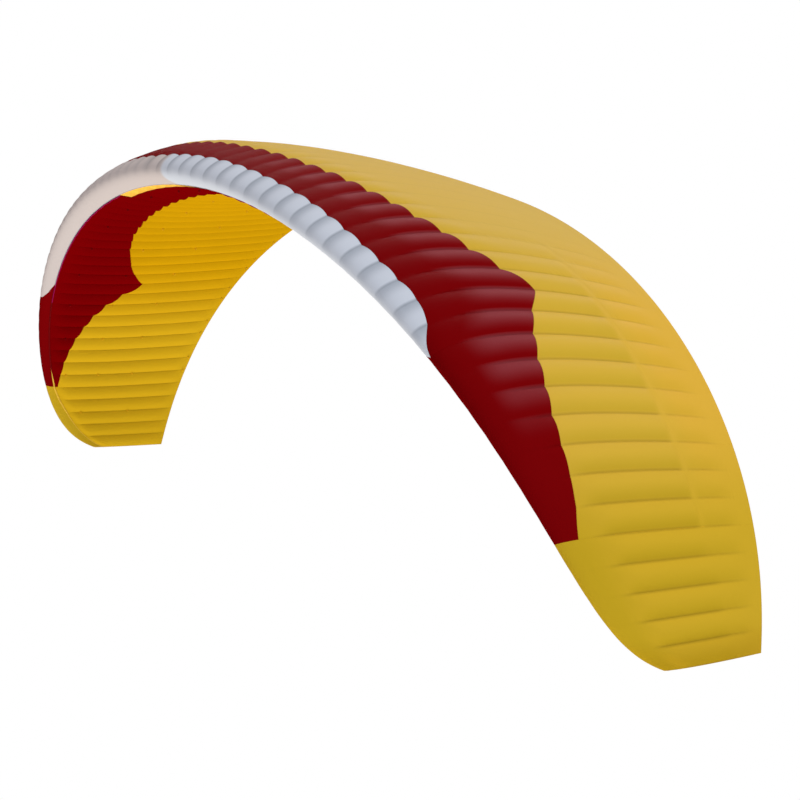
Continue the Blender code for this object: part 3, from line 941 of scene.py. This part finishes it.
def braid_finish(name, colour, glow=0.0):
    """Woven tape or cord: fine bands of thread with a soft sheen, and a painted glow of its own
    colour, as strong as glow.
    """
    finish, tree, shader = new_finish(name, {
        "Roughness": BRAID_ROUGHNESS,
        "Specular IOR Level": BRAID_GLOSS,
        "Emission Color": solid(colour),
        "Emission Strength": glow,
    })
    thread = new_node(tree, "ShaderNodeTexWave", bands_direction="DIAGONAL")
    set_inputs(thread, {"Scale": BRAID_SCALE, "Distortion": BRAID_DISTORTION})
    tree.links.new(object_place(tree), thread.inputs["Vector"])
    height = thread.outputs["Fac"]
    body = mixed(tree, height, solid([part * BRAID_DEEP for part in colour]), solid(colour))
    tree.links.new(body, shader.inputs["Base Color"])
    add_bump(tree, shader, height, *BRAID_RELIEF)
    return finish


def plain_glow(name, colour):
    """Shows one even colour, whatever lights it."""
    return new_finish(name, {
        "Base Color": (0.0, 0.0, 0.0, 1.0),
        "Specular IOR Level": 0.0,
        "Roughness": 1.0,
        "Emission Color": solid(colour),
        "Emission Strength": 1.0,
    })[0]


def a_number(name, description, default, **more):
    return FloatProperty(name=name, description=description, default=default, **more)


def a_colour(name, description, default):
    return FloatVectorProperty(
        name=name, description=description, default=default, subtype="COLOR",
    )


class CanopyProperties(bpy.types.PropertyGroup):
    billow: a_number("Billow", "Height of a cell's crest over its width", 0.13)
    steps_per_cell: IntProperty(
        name="Steps per cell", description="Faces across one cell", default=10, min=4,
    )
    cloth_thickness: a_number(
        "Cloth thickness", "Thickness of the coated nylon with its seams", 0.0012,
        unit="LENGTH",
    )
    crease_angle: a_number(
        "Crease angle", "Sharper folds than this stay sharp", math.radians(22),
        subtype="ANGLE",
    )
    ripstop: a_number("Ripstop", "Size of the weave's squares", 0.006, unit="LENGTH")
    wrinkle: a_number("Wrinkle", "Strength of the puckers along the sewn ribs", 0.35)
    roughness: a_number("Roughness", "Roughness of the coated cloth", 0.55)
    gloss: a_number("Gloss", "Strength of the bare cloth's reflection", 0.0)
    haze: a_number("Haze", "Coating that shines where the sky meets it", 0.08)
    haze_roughness: a_number("Haze roughness", "Roughness of that coating", 0.52)
    inner_glow: a_number("Inner glow", "Daylight seen through the cloth from inside", 0.6)
    outer_glow: a_number("Outer glow", "Daylight that comes through to the cloth below", 0.10)
    white_glow: a_number("White glow", "Daylight that comes through the nose band", 0.32)
    white: a_colour("White", "Nose band", (0.485, 0.515, 0.565))
    white_right: a_colour(
        "White right", "Nose band's right half, in warmer light", (0.485, 0.428, 0.405),
    )
    red: a_colour("Red", "Red cloth above", (0.195, 0.0004, 0.0014))
    # Paler red of the painted sheen on the cells above
    red_faded: a_colour("Red faded", "Red cloth above where it is faded", (0.265, 0.034, 0.040))
    red_below: a_colour("Red below", "Red cloth below", (0.185, 0.0002, 0.001))
    yellow: a_colour("Yellow", "Yellow cloth above", (0.70, 0.436, 0.045))
    # Painted shade: darker yellow on the top of the arc
    yellow_crown: a_colour(
        "Yellow crown", "Yellow cloth above, at the top of the arc", (0.655, 0.41, 0.040),
    )
    # Painted light: brighter yellow towards the back
    yellow_hem: a_colour("Yellow hem", "Yellow cloth above, at the back", (0.79, 0.458, 0.045))
    # Painted shade: darker, more olive yellow near the tips, which turn from the light
    yellow_tip: a_colour(
        "Yellow tip", "Yellow cloth above, near the tips", (0.665, 0.415, 0.022),
    )
    # Painted shade: darker yellow in the tips' last cells, which turn away from the light
    yellow_end: a_colour(
        "Yellow end", "Yellow cloth above, in the tips' last cells", (0.56, 0.33, 0.014),
    )
    yellow_below: a_colour(
        "Yellow below", "Yellow cloth below, lit through", (0.58, 0.305, 0.002),
    )
    # Painted light: the cloth below lighter and yellower towards the tips
    yellow_low: a_colour(
        "Yellow low", "Yellow cloth below, near the tips", (0.63, 0.375, 0.010),
    )
    ribs: a_colour("Ribs", "Ribs behind the narrow slot", (0.16, 0.004, 0.012))
    lit_ribs: a_colour(
        "Lit ribs", "Ribs behind the sunny side of the wide slot", (0.95, 0.66, 0.11),
    )
    piping: a_colour("Piping", "Cord sewn in along the slot's lower lip", (0.36, 0.003, 0.08))


class StageProperties(bpy.types.PropertyGroup):
    camera_place: FloatVectorProperty(
        name="Camera place", description="Where the camera stands", subtype="TRANSLATION",
        default=(10.662, -5.0741, -0.4691),
    )
    camera_yaw: a_number("Camera yaw", "Turn to the left from +Y", 1.014, subtype="ANGLE")
    camera_pitch: a_number("Camera pitch", "Tilt above the horizon", -0.1105, subtype="ANGLE")
    camera_roll: a_number(
        "Camera roll", "Turn about the line of sight", 0.0294, subtype="ANGLE",
    )
    lens: a_number("Lens", "Focal length on a 36 mm frame", 65.39)
    floor_depth: a_number("Floor depth", "Height of the floor", -16.0, unit="LENGTH")
    sky_light: a_number("Sky light", "Brightness of the soft light from all round", 0.53)
    key_light: a_number("Key light", "Strength of the soft light from the left", 1.45)
    haze_light: a_number(
        "Haze light", "Strength of the light that the coating mirrors", 8.0,
    )
    bounce_light: a_number("Bounce light", "Strength of the soft light from below", 2.5)


def rib_range(side, first, last):
    return tuple(sorted((side * first, side * last)))


def spans(kind):
    return [f"{kind}_{label}" for label in (
        "centre", "inner_left", "inner_right", "outer_left", "outer_right",
    )]


class PARAGLIDER_OT_white_band(bpy.types.Operator):
    """Sew the white band over the nose, from the slot to its scalloped back edge"""

    bl_idname = "paraglider.white_band"
    bl_label = "White nose band"

    def execute(self, context):
        strip = (-WHITE_END_RIB, WHITE_END_RIB, spread(white_foot, WHITE_ROWS, white_back))
        dress(
            "white_band_cloth", [strip], ["white"], spans("nose_white")[:3],
            context.scene.canopy, nose_mark,
        )
        return {"FINISHED"}


class PARAGLIDER_OT_red_above(bpy.types.Operator):
    """Sew the red cloth above, which widens to a point and runs down to the tips' closed cells"""

    bl_idname = "paraglider.red_above"
    bl_label = "Red cloth above"

    def execute(self, context):
        strips = [(
            -WHITE_END_RIB, WHITE_END_RIB, spread(white_back, RED_ROWS, red_back_above),
        )]
        under_point = spread(lip_above, RED_NOSE_ROWS, white_foot)
        outside = spread(lip_above, RED_NOSE_ROWS, same(0.0), RED_ROWS, red_back_above)
        for _, side in SIDES:
            strips.append((*rib_range(side, WHITE_FOOT[0][0], WHITE_END_RIB), under_point))
            strips.append((*rib_range(side, WHITE_END_RIB, SLOT_END_RIB), outside))
        dress(
            "red_cloth_above", strips, ["red"], spans("upper_red"), context.scene.canopy,
        )
        return {"FINISHED"}


class PARAGLIDER_OT_yellow_above(bpy.types.Operator):
    """Sew the yellow cloth above, back to the seam of the trailing cloth"""

    bl_idname = "paraglider.yellow_above"
    bl_label = "Yellow cloth above"

    def execute(self, context):
        ridge_start = same(math.sqrt(TRAILING_SEAM - 4 * RIDGE_WIDTH))
        seam = same(math.sqrt(TRAILING_SEAM))
        rows = spread(red_back_above, YELLOW_ROWS, ridge_start, RIDGE_ROWS, seam)
        dress(
            "yellow_cloth_above", [(-SLOT_END_RIB, SLOT_END_RIB, rows)], ["yellow"],
            spans("upper_yellow"), context.scene.canopy, mark=crown_mark,
        )
        return {"FINISHED"}


class PARAGLIDER_OT_cloth_below(bpy.types.Operator):
    """Sew the red and yellow cloth below, from the slot's lower lip to the trailing cloth"""

    bl_idname = "paraglider.cloth_below"
    bl_label = "Cloth below"

    def execute(self, context):
        canopy = context.scene.canopy
        wide = spread(red_back_below, RED_BELOW_ROWS, same(WIDE_LIP_BELOW))
        narrow = spread(red_back_below, RED_BELOW_ROWS, lip_below)
        strips = [(-CENTRE_RIB, CENTRE_RIB, wide)]
        strips += [(*rib_range(side, CENTRE_RIB, SLOT_END_RIB), narrow) for _, side in SIDES]
        dress("red_cloth_below", strips, ["red_below"], spans("lower_red"), canopy)
        seam = same(u_below(TRAILING_SEAM))
        rows = spread(seam, YELLOW_BELOW_ROWS, red_back_below)
        dress(
            "yellow_cloth_below", [(-SLOT_END_RIB, SLOT_END_RIB, rows)], ["yellow_below"],
            spans("lower_yellow"), canopy,
        )
        return {"FINISHED"}


class PARAGLIDER_OT_tips(bpy.types.Operator):
    """Sew the closed cells and the flat end rib of each tip"""

    bl_idname = "paraglider.tips"
    bl_label = "Tips"

    def execute(self, context):
        canopy = context.scene.canopy
        above = spread(tip_seam, TIP_NOSE_ROWS, same(0.0), TIP_ROWS, same(1.0))
        below = spread(same(-1.0), TIP_BELOW_ROWS, tip_seam)
        for label, side in SIDES:
            ribs = rib_range(side, SLOT_END_RIB, CELLS_PER_HALF)
            dress(
                f"tip_cloth_above_{label}", [(*ribs, above)], ["yellow"],
                [f"upper_tip_{label}"], canopy,
            )
            dress(
                f"tip_cloth_below_{label}", [(*ribs, below)], ["yellow_below"],
                [f"lower_tip_{label}"], canopy,
            )
            make_tip_rib(label, side, canopy)
        return {"FINISHED"}


def make_tip_rib(label, side, canopy):
    """The flat rib that ends a tip, with its rim turned in."""
    half = np.linspace(0, 1, TIP_RIB_ROWS + 1)
    u = np.concatenate([-half[::-1], half[1:]])
    bm = bmesh.new()
    uv = bm.loops.layers.uv.new("cloth")
    layers = [bm.verts.layers.float.new(key) for key in ("from_rib", "from_edge")]
    rings = []
    for inset in TIP_RIB_INSETS:
        depth = inset * TIP_RIB_INSET_SHARE * (1 - np.abs(u) ** 6)
        ring = [bm.verts.new(point) for point in section(side, u, depth)]
        for vert in ring:
            for layer in layers:
                vert[layer] = inset
        rings.append(ring)
    for near, far in zip(rings, rings[1:]):
        for i in range(len(u) - 1):
            bm.faces.new((near[i], near[i + 1], far[i + 1], far[i]))
        bm.faces.new((near[0], far[0], far[-1], near[-1]))
    inner = rings[-1]
    for i in range(TIP_RIB_ROWS - 1):
        bm.faces.new((inner[i], inner[i + 1], inner[-2 - i], inner[-1 - i]))
    bm.faces.new(inner[TIP_RIB_ROWS - 1:TIP_RIB_ROWS + 2])
    bmesh.ops.remove_doubles(bm, verts=bm.verts, dist=1e-6)
    roll = chord_line(side)[2]
    outward = Vector((math.cos(roll) * side, 0.0, -math.sin(roll) * side))
    bm.normal_update()
    for face in bm.faces:
        if face.normal.dot(outward) < 0:
            face.normal_flip()
        for loop in face.loops:
            loop[uv].uv = (loop.vert.co.z, loop.vert.co.y)
    area = sum(face.calc_area() for face in bm.faces)
    item = object_from(bm, f"tip_end_cloth_{label}")
    finish_cloth(item, canopy, "yellow")
    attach(item, "root")
    *_, leading, trailing = chord_line(side)
    declare_sheet(
        item, (trailing - leading, TIP_RIB_HEIGHT),
        area, [f"tip_rib_{label}"],
    )


class PARAGLIDER_OT_trailing_cloth(bpy.types.Operator):
    """Sew the trailing cloth: one piece in the middle, and sections for the brakes"""

    bl_idname = "paraglider.trailing_cloth"
    bl_label = "Trailing cloth and brakes"

    def execute(self, context):
        canopy = context.scene.canopy
        seam = u_below(TRAILING_SEAM)
        rows = spread(
            same(-seam), TRAILING_ROWS, same(1.0), 1, same(-1.0), TRAILING_ROWS, same(seam),
        )
        dress(
            "trailing_cloth_centre", [(-CENTRE_RIB, CENTRE_RIB, rows)],
            ["yellow", "yellow_below"], [], canopy,
        )
        for label, side in SIDES:
            for number, first in BRAKES:
                ribs = rib_range(side, first, first + BRAKE_CELLS)
                make_brake_cloth(label, number, ribs, rows, canopy)
        return {"FINISHED"}


def make_brake_cloth(label, number, ribs, rows, canopy):
    """The trailing cloth of one brake section, with its sides closed by ribs."""
    item, area, longest = sheet_from(
        f"brake_cloth_{label}_{number}", [(*ribs, rows)], canopy, folded=True, closed_sides=True,
    )
    finish_cloth(item, canopy, "yellow", "yellow_below")
    start, end = section(rib_t(sum(ribs) / 2), [u_below(BEND_START), u_below(BEND_END)])
    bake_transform(item)
    declare_sheet(
        item, (span_between(*ribs), longest),
        area, [f"brake_flap_{label}_{number}"],
    )


class PARAGLIDER_OT_rib_noses(bpy.types.Operator):
    """Give the rib noses that show in the slot their stiffened film"""

    bl_idname = "paraglider.rib_noses"
    bl_label = "Rib noses"

    def execute(self, context):
        canopy = context.scene.canopy
        film = film_finish("rib_film", canopy.lit_ribs, canopy.ribs)
        for name in spans("rib_noses"):
            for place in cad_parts[name].material_slots:
                place.material = film
        return {"FINISHED"}


class PARAGLIDER_OT_piping(bpy.types.Operator):
    """Sew the cord in along both lips of the slot and along the tips' forward seam"""

    bl_idname = "paraglider.piping"
    bl_label = "Piping"

    def execute(self, context):
        canopy = context.scene.canopy
        magenta = braid_finish("piping_magenta", canopy.piping)
        white = braid_finish("piping_white", canopy.white)
        red = braid_finish("piping_red", canopy.red)
        yellow = braid_finish("piping_yellow", canopy.yellow, TIP_PIPING_GLOW)
        white_end = WHITE_FOOT[0][0]
        make_piping(
            "slot_piping_above_middle", lip_above, (-white_end, white_end), white,
        )
        make_piping(
            "slot_piping_below_middle", same(WIDE_LIP_BELOW), (-CENTRE_RIB, CENTRE_RIB), red,
        )
        for label, side in SIDES:
            ribs = rib_range(side, white_end, SLOT_END_RIB)
            make_piping(f"slot_piping_above_{label}", lip_above, ribs, red)
            for part, first, last, finish in (
                ("inner", CENTRE_RIB, PINK_END_RIB, magenta),
                ("outer", PINK_END_RIB, SLOT_END_RIB, red),
            ):
                make_piping(
                    f"slot_piping_below_{part}_{label}", lower_piping_line,
                    rib_range(side, first, last), finish, same(LOWER_PIPING),
                )
            make_piping(
                f"tip_piping_{label}", tip_piping_line,
                rib_range(side, TIP_PIPING_RIB, CELLS_PER_HALF), yellow,
                tip_piping_size,
            )
        return {"FINISHED"}


def lower_piping_line(rib):
    return lip_below(rib) + LOWER_PIPING_IN


def tip_piping_line(rib):
    """Through the slot's last two cells, where it narrows to nothing, and on along the tip."""
    if abs(rib) < SLOT_END_RIB:
        return (lip_above(rib) + lip_below(rib)) / 2
    return tip_seam(rib)


def tip_piping_size(rib):
    grown = ease(TIP_PIPING_RIB, SLOT_END_RIB, abs(rib))
    left = 1 - TIP_PIPING_THINNING * ease(*TIP_PIPING_FALL, abs(rib))
    return TIP_PIPING_LEAST + (TIP_PIPING - TIP_PIPING_LEAST) * grown * left


def make_piping(name, line, ribs, finish, size=same(PIPING)):
    """A cord sewn into a seam, as a round bar along it."""
    steps = round((ribs[1] - ribs[0]) * PIPING_STEPS) + 1
    curve = bpy.data.curves.new(name, "CURVE")
    curve.dimensions = "3D"
    curve.bevel_depth = 1.0
    curve.bevel_resolution = 2
    curve.use_fill_caps = True
    spline = curve.splines.new("POLY")
    spline.points.add(steps - 1)
    for point, rib in zip(spline.points, np.linspace(*ribs, steps)):
        place = cloth(rib, [line(rib)], bpy.context.scene.canopy.billow)[0]
        point.co = (*place, 1.0)
        point.radius = size(rib)
    item = linked(bpy.data.objects.new(name, curve))
    only(item)
    bpy.ops.object.convert(target="MESH")
    bpy.ops.object.shade_smooth()
    item.data.materials.append(finish)
    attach(item, "root")


class PARAGLIDER_OT_line_tabs(bpy.types.Operator):
    """Sew the loops of tape that the lines hold, in three rows under the ribs and on the brakes"""

    bl_idname = "paraglider.line_tabs"
    bl_label = "Line tabs"

    def execute(self, context):
        canopy = context.scene.canopy
        red = braid_finish("tape_red", canopy.red, TAPE_GLOW)
        yellow = braid_finish("tape_yellow", canopy.yellow_low, TAPE_GLOW)
        pattern = tab_pattern()
        for label, side in SIDES:
            feet = [(side * rib, u_below(share)) for rib in TAB_RIBS for share in TAB_ROWS]
            red_feet = [(rib, u) for rib, u in feet if u > red_back_below(rib)]
            yellow_feet = [foot for foot in feet if foot not in red_feet]
            yellow_feet += [(side * TIP_TAB_RIB, u_below(share)) for share in TIP_TAB_ROWS]
            sew_tabs(f"line_tabs_red_{label}", red_feet, pattern, red, "root")
            sew_tabs(
                f"line_tabs_yellow_{label}", yellow_feet, pattern, yellow, "root",
            )
            for number, first in BRAKES:
                ribs = range(first + 1, first + BRAKE_CELLS)
                feet = [(side * rib, u_below(BRAKE_TAB_AT)) for rib in ribs]
                body = f"brake_{label}_{number}"
                sew_tabs(f"{body}_tabs", feet, pattern, yellow, body)
        bpy.data.objects.remove(pattern)
        return {"FINISHED"}


def tab_pattern():
    """One tape loop: round at its end, pinched at its foot, standing along +Z."""
    bpy.ops.mesh.primitive_cylinder_add(
        vertices=TAB_FACES, radius=TAB_LOOP, depth=TAB_WIDTH, end_fill_type="NOTHING",
        location=(0, 0, TAB_DROP - TAB_LOOP), rotation=(0, math.pi / 2, 0),
    )
    loop = bpy.context.object
    loop.name = "tab_pattern"
    only(loop)
    bpy.ops.object.transform_apply(location=True, rotation=True, scale=True)
    bpy.ops.object.mode_set(mode="EDIT")
    bpy.ops.mesh.select_all(action="DESELECT")
    bpy.ops.object.mode_set(mode="OBJECT")
    for vert in loop.data.vertices:
        vert.select = vert.co.z < TAB_DROP - TAB_NECK * TAB_LOOP
    bpy.ops.object.mode_set(mode="EDIT")
    bpy.ops.transform.translate(value=(0, 0, 2 * TAB_LOOP - TAB_DROP))
    bpy.ops.transform.resize(value=(1, TAB_PINCH, TAB_PINCH), center_override=(0, 0, 0))
    bpy.ops.object.mode_set(mode="OBJECT")
    wall = loop.modifiers.new("tape", "SOLIDIFY")
    wall.thickness = TAPE_THICKNESS
    wall.offset = -1
    apply_modifiers(loop)
    bpy.ops.object.shade_smooth_by_angle(angle=TAB_SMOOTH)
    return loop


def sew_tabs(name, feet, pattern, finish, body):
    """Copies the loop to each foot, standing out of the cloth along its rib."""
    copies = []
    for rib, u in feet:
        t = rib_t(rib)
        foot, behind = [Vector(point) for point in section(t, [u, u - 1e-3])]
        inside = Vector(section(t, [u], 0.01)[0])
        out = (foot - inside).normalized()
        back = (behind - foot).normalized()
        across = out.cross(back).normalized()
        turn = Matrix((across.cross(out), across, out)).transposed().to_4x4()
        copy = linked(bpy.data.objects.new(name, pattern.data.copy()))
        copy.data.transform(Matrix.Translation(foot) @ turn)
        copies.append(copy)
    item = copies[0]
    only(item)
    for copy in copies:
        copy.select_set(True)
    bpy.ops.object.join()
    item.name = name
    item.data.materials.append(finish)
    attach(item, body)


class PARAGLIDER_OT_stage(bpy.types.Operator):
    """Set the plain floor and backdrop, the soft light and the camera"""

    bl_idname = "paraglider.stage"
    bl_label = "Stage"

    def execute(self, context):
        stage = context.scene.stage
        context.scene.view_settings.view_transform = "Standard"
        make_backdrop(stage)
        make_sky(stage)
        for name, source, colour, ignored_by in LIGHTS:
            add_light(name, getattr(stage, name), source, colour, ignored_by)
        make_camera(stage)
        return {"FINISHED"}


def make_backdrop(stage):
    """A pale floor far below the wing, in a pale round backdrop. Neither lights the wing."""
    bpy.ops.mesh.primitive_circle_add(
        vertices=FLOOR_SIDES, radius=FLOOR_RADIUS, fill_type="NGON",
        location=(0, 0, stage.floor_depth),
    )
    floor = bpy.context.object
    floor.name = "floor"
    segments, rings = BACKDROP_FACES
    bpy.ops.mesh.primitive_uv_sphere_add(
        segments=segments, ring_count=rings, radius=BACKDROP_RADIUS,
    )
    dome = bpy.context.object
    dome.name = "backdrop"
    bpy.ops.object.shade_smooth()
    pale = plain_glow("pale_backdrop", (1.0, 1.0, 1.0))
    for item in (floor, dome):
        item.data.materials.append(pale)
        for kind in ("diffuse", "glossy", "transmission", "shadow"):
            setattr(item, f"visible_{kind}", False)


def make_sky(stage):
    """Soft light from all round, cooler from the left and brighter from above."""
    world = bpy.data.worlds.new("studio")
    bpy.context.scene.world = world
    world.use_nodes = True
    tree = world.node_tree
    background = tree.nodes["Background"]
    set_inputs(background, {"Strength": stage.sky_light})
    axes = axes_of(tree, new_node(tree, "ShaderNodeTexCoord").outputs["Generated"])
    tones = []
    for axis, reach, pair in ((0, SKY_WIDTH, SKY_TONES), (2, SKY_HEIGHT, SKY_SHADES)):
        share = ranged(tree, axes[axis], -reach, reach, 0.0, 1.0)
        tones.append(mixed(tree, share, *[solid(tone) for tone in pair]))
    sky = mixed(tree, 1.0, *tones, "MULTIPLY")
    tree.links.new(sky, background.inputs["Color"])


def add_light(name, strength, source, colour, ignored_by):
    """One broad light: it is seen only in reflections, or only without them."""
    bpy.ops.object.light_add(type="SUN", location=(0, 0, 10))
    lamp = bpy.context.object
    lamp.name = name
    lamp.data.energy = strength
    lamp.data.angle = LIGHT_SPREAD
    lamp.data.color = colour
    lamp.rotation_euler = Vector(source).to_track_quat("Z", "Y").to_euler()
    setattr(lamp, f"visible_{ignored_by}", False)


def make_camera(stage):
    data = bpy.data.cameras.new("camera")
    data.lens = stage.lens
    data.sensor_width = FRAME_WIDTH
    data.clip_end = SIGHT
    camera = linked(bpy.data.objects.new("camera", data))
    turn = (
        Matrix.Rotation(stage.camera_yaw, 4, "Z")
        @ Matrix.Rotation(math.pi / 2 + stage.camera_pitch, 4, "X")
        @ Matrix.Rotation(stage.camera_roll, 4, "Z")
    )
    camera.matrix_world = Matrix.Translation(stage.camera_place) @ turn
    bpy.context.scene.camera = camera


class PARAGLIDER_PT_canopy(bpy.types.Panel):
    bl_label = "Paraglider canopy"
    bl_idname = "PARAGLIDER_PT_canopy"
    bl_space_type = "VIEW_3D"
    bl_region_type = "UI"
    bl_category = "Canopy"

    def draw(self, context):
        for group in (context.scene.canopy, context.scene.stage):
            box = self.layout.box()
            for name in group.bl_rna.properties.keys():
                if name not in ("rna_type", "name"):
                    box.prop(group, name)
        for operator in STEPS:
            self.layout.operator(operator.bl_idname)


STEPS = (
    PARAGLIDER_OT_white_band,
    PARAGLIDER_OT_red_above,
    PARAGLIDER_OT_yellow_above,
    PARAGLIDER_OT_cloth_below,
    PARAGLIDER_OT_tips,
    PARAGLIDER_OT_trailing_cloth,
    PARAGLIDER_OT_rib_noses,
    PARAGLIDER_OT_piping,
    PARAGLIDER_OT_line_tabs,
    PARAGLIDER_OT_stage,
)
CLASSES = (CanopyProperties, StageProperties, *STEPS, PARAGLIDER_PT_canopy)


def register():
    for item in CLASSES:
        bpy.utils.register_class(item)
    bpy.types.Scene.canopy = PointerProperty(type=CanopyProperties)
    bpy.types.Scene.stage = PointerProperty(type=StageProperties)


def unregister():
    del bpy.types.Scene.stage
    del bpy.types.Scene.canopy
    for item in reversed(CLASSES):
        bpy.utils.unregister_class(item)


def main():
    register()
    for step in STEPS:
        group, name = step.bl_idname.split(".")
        getattr(getattr(bpy.ops, group), name)()


if __name__ == "__main__":
    main()
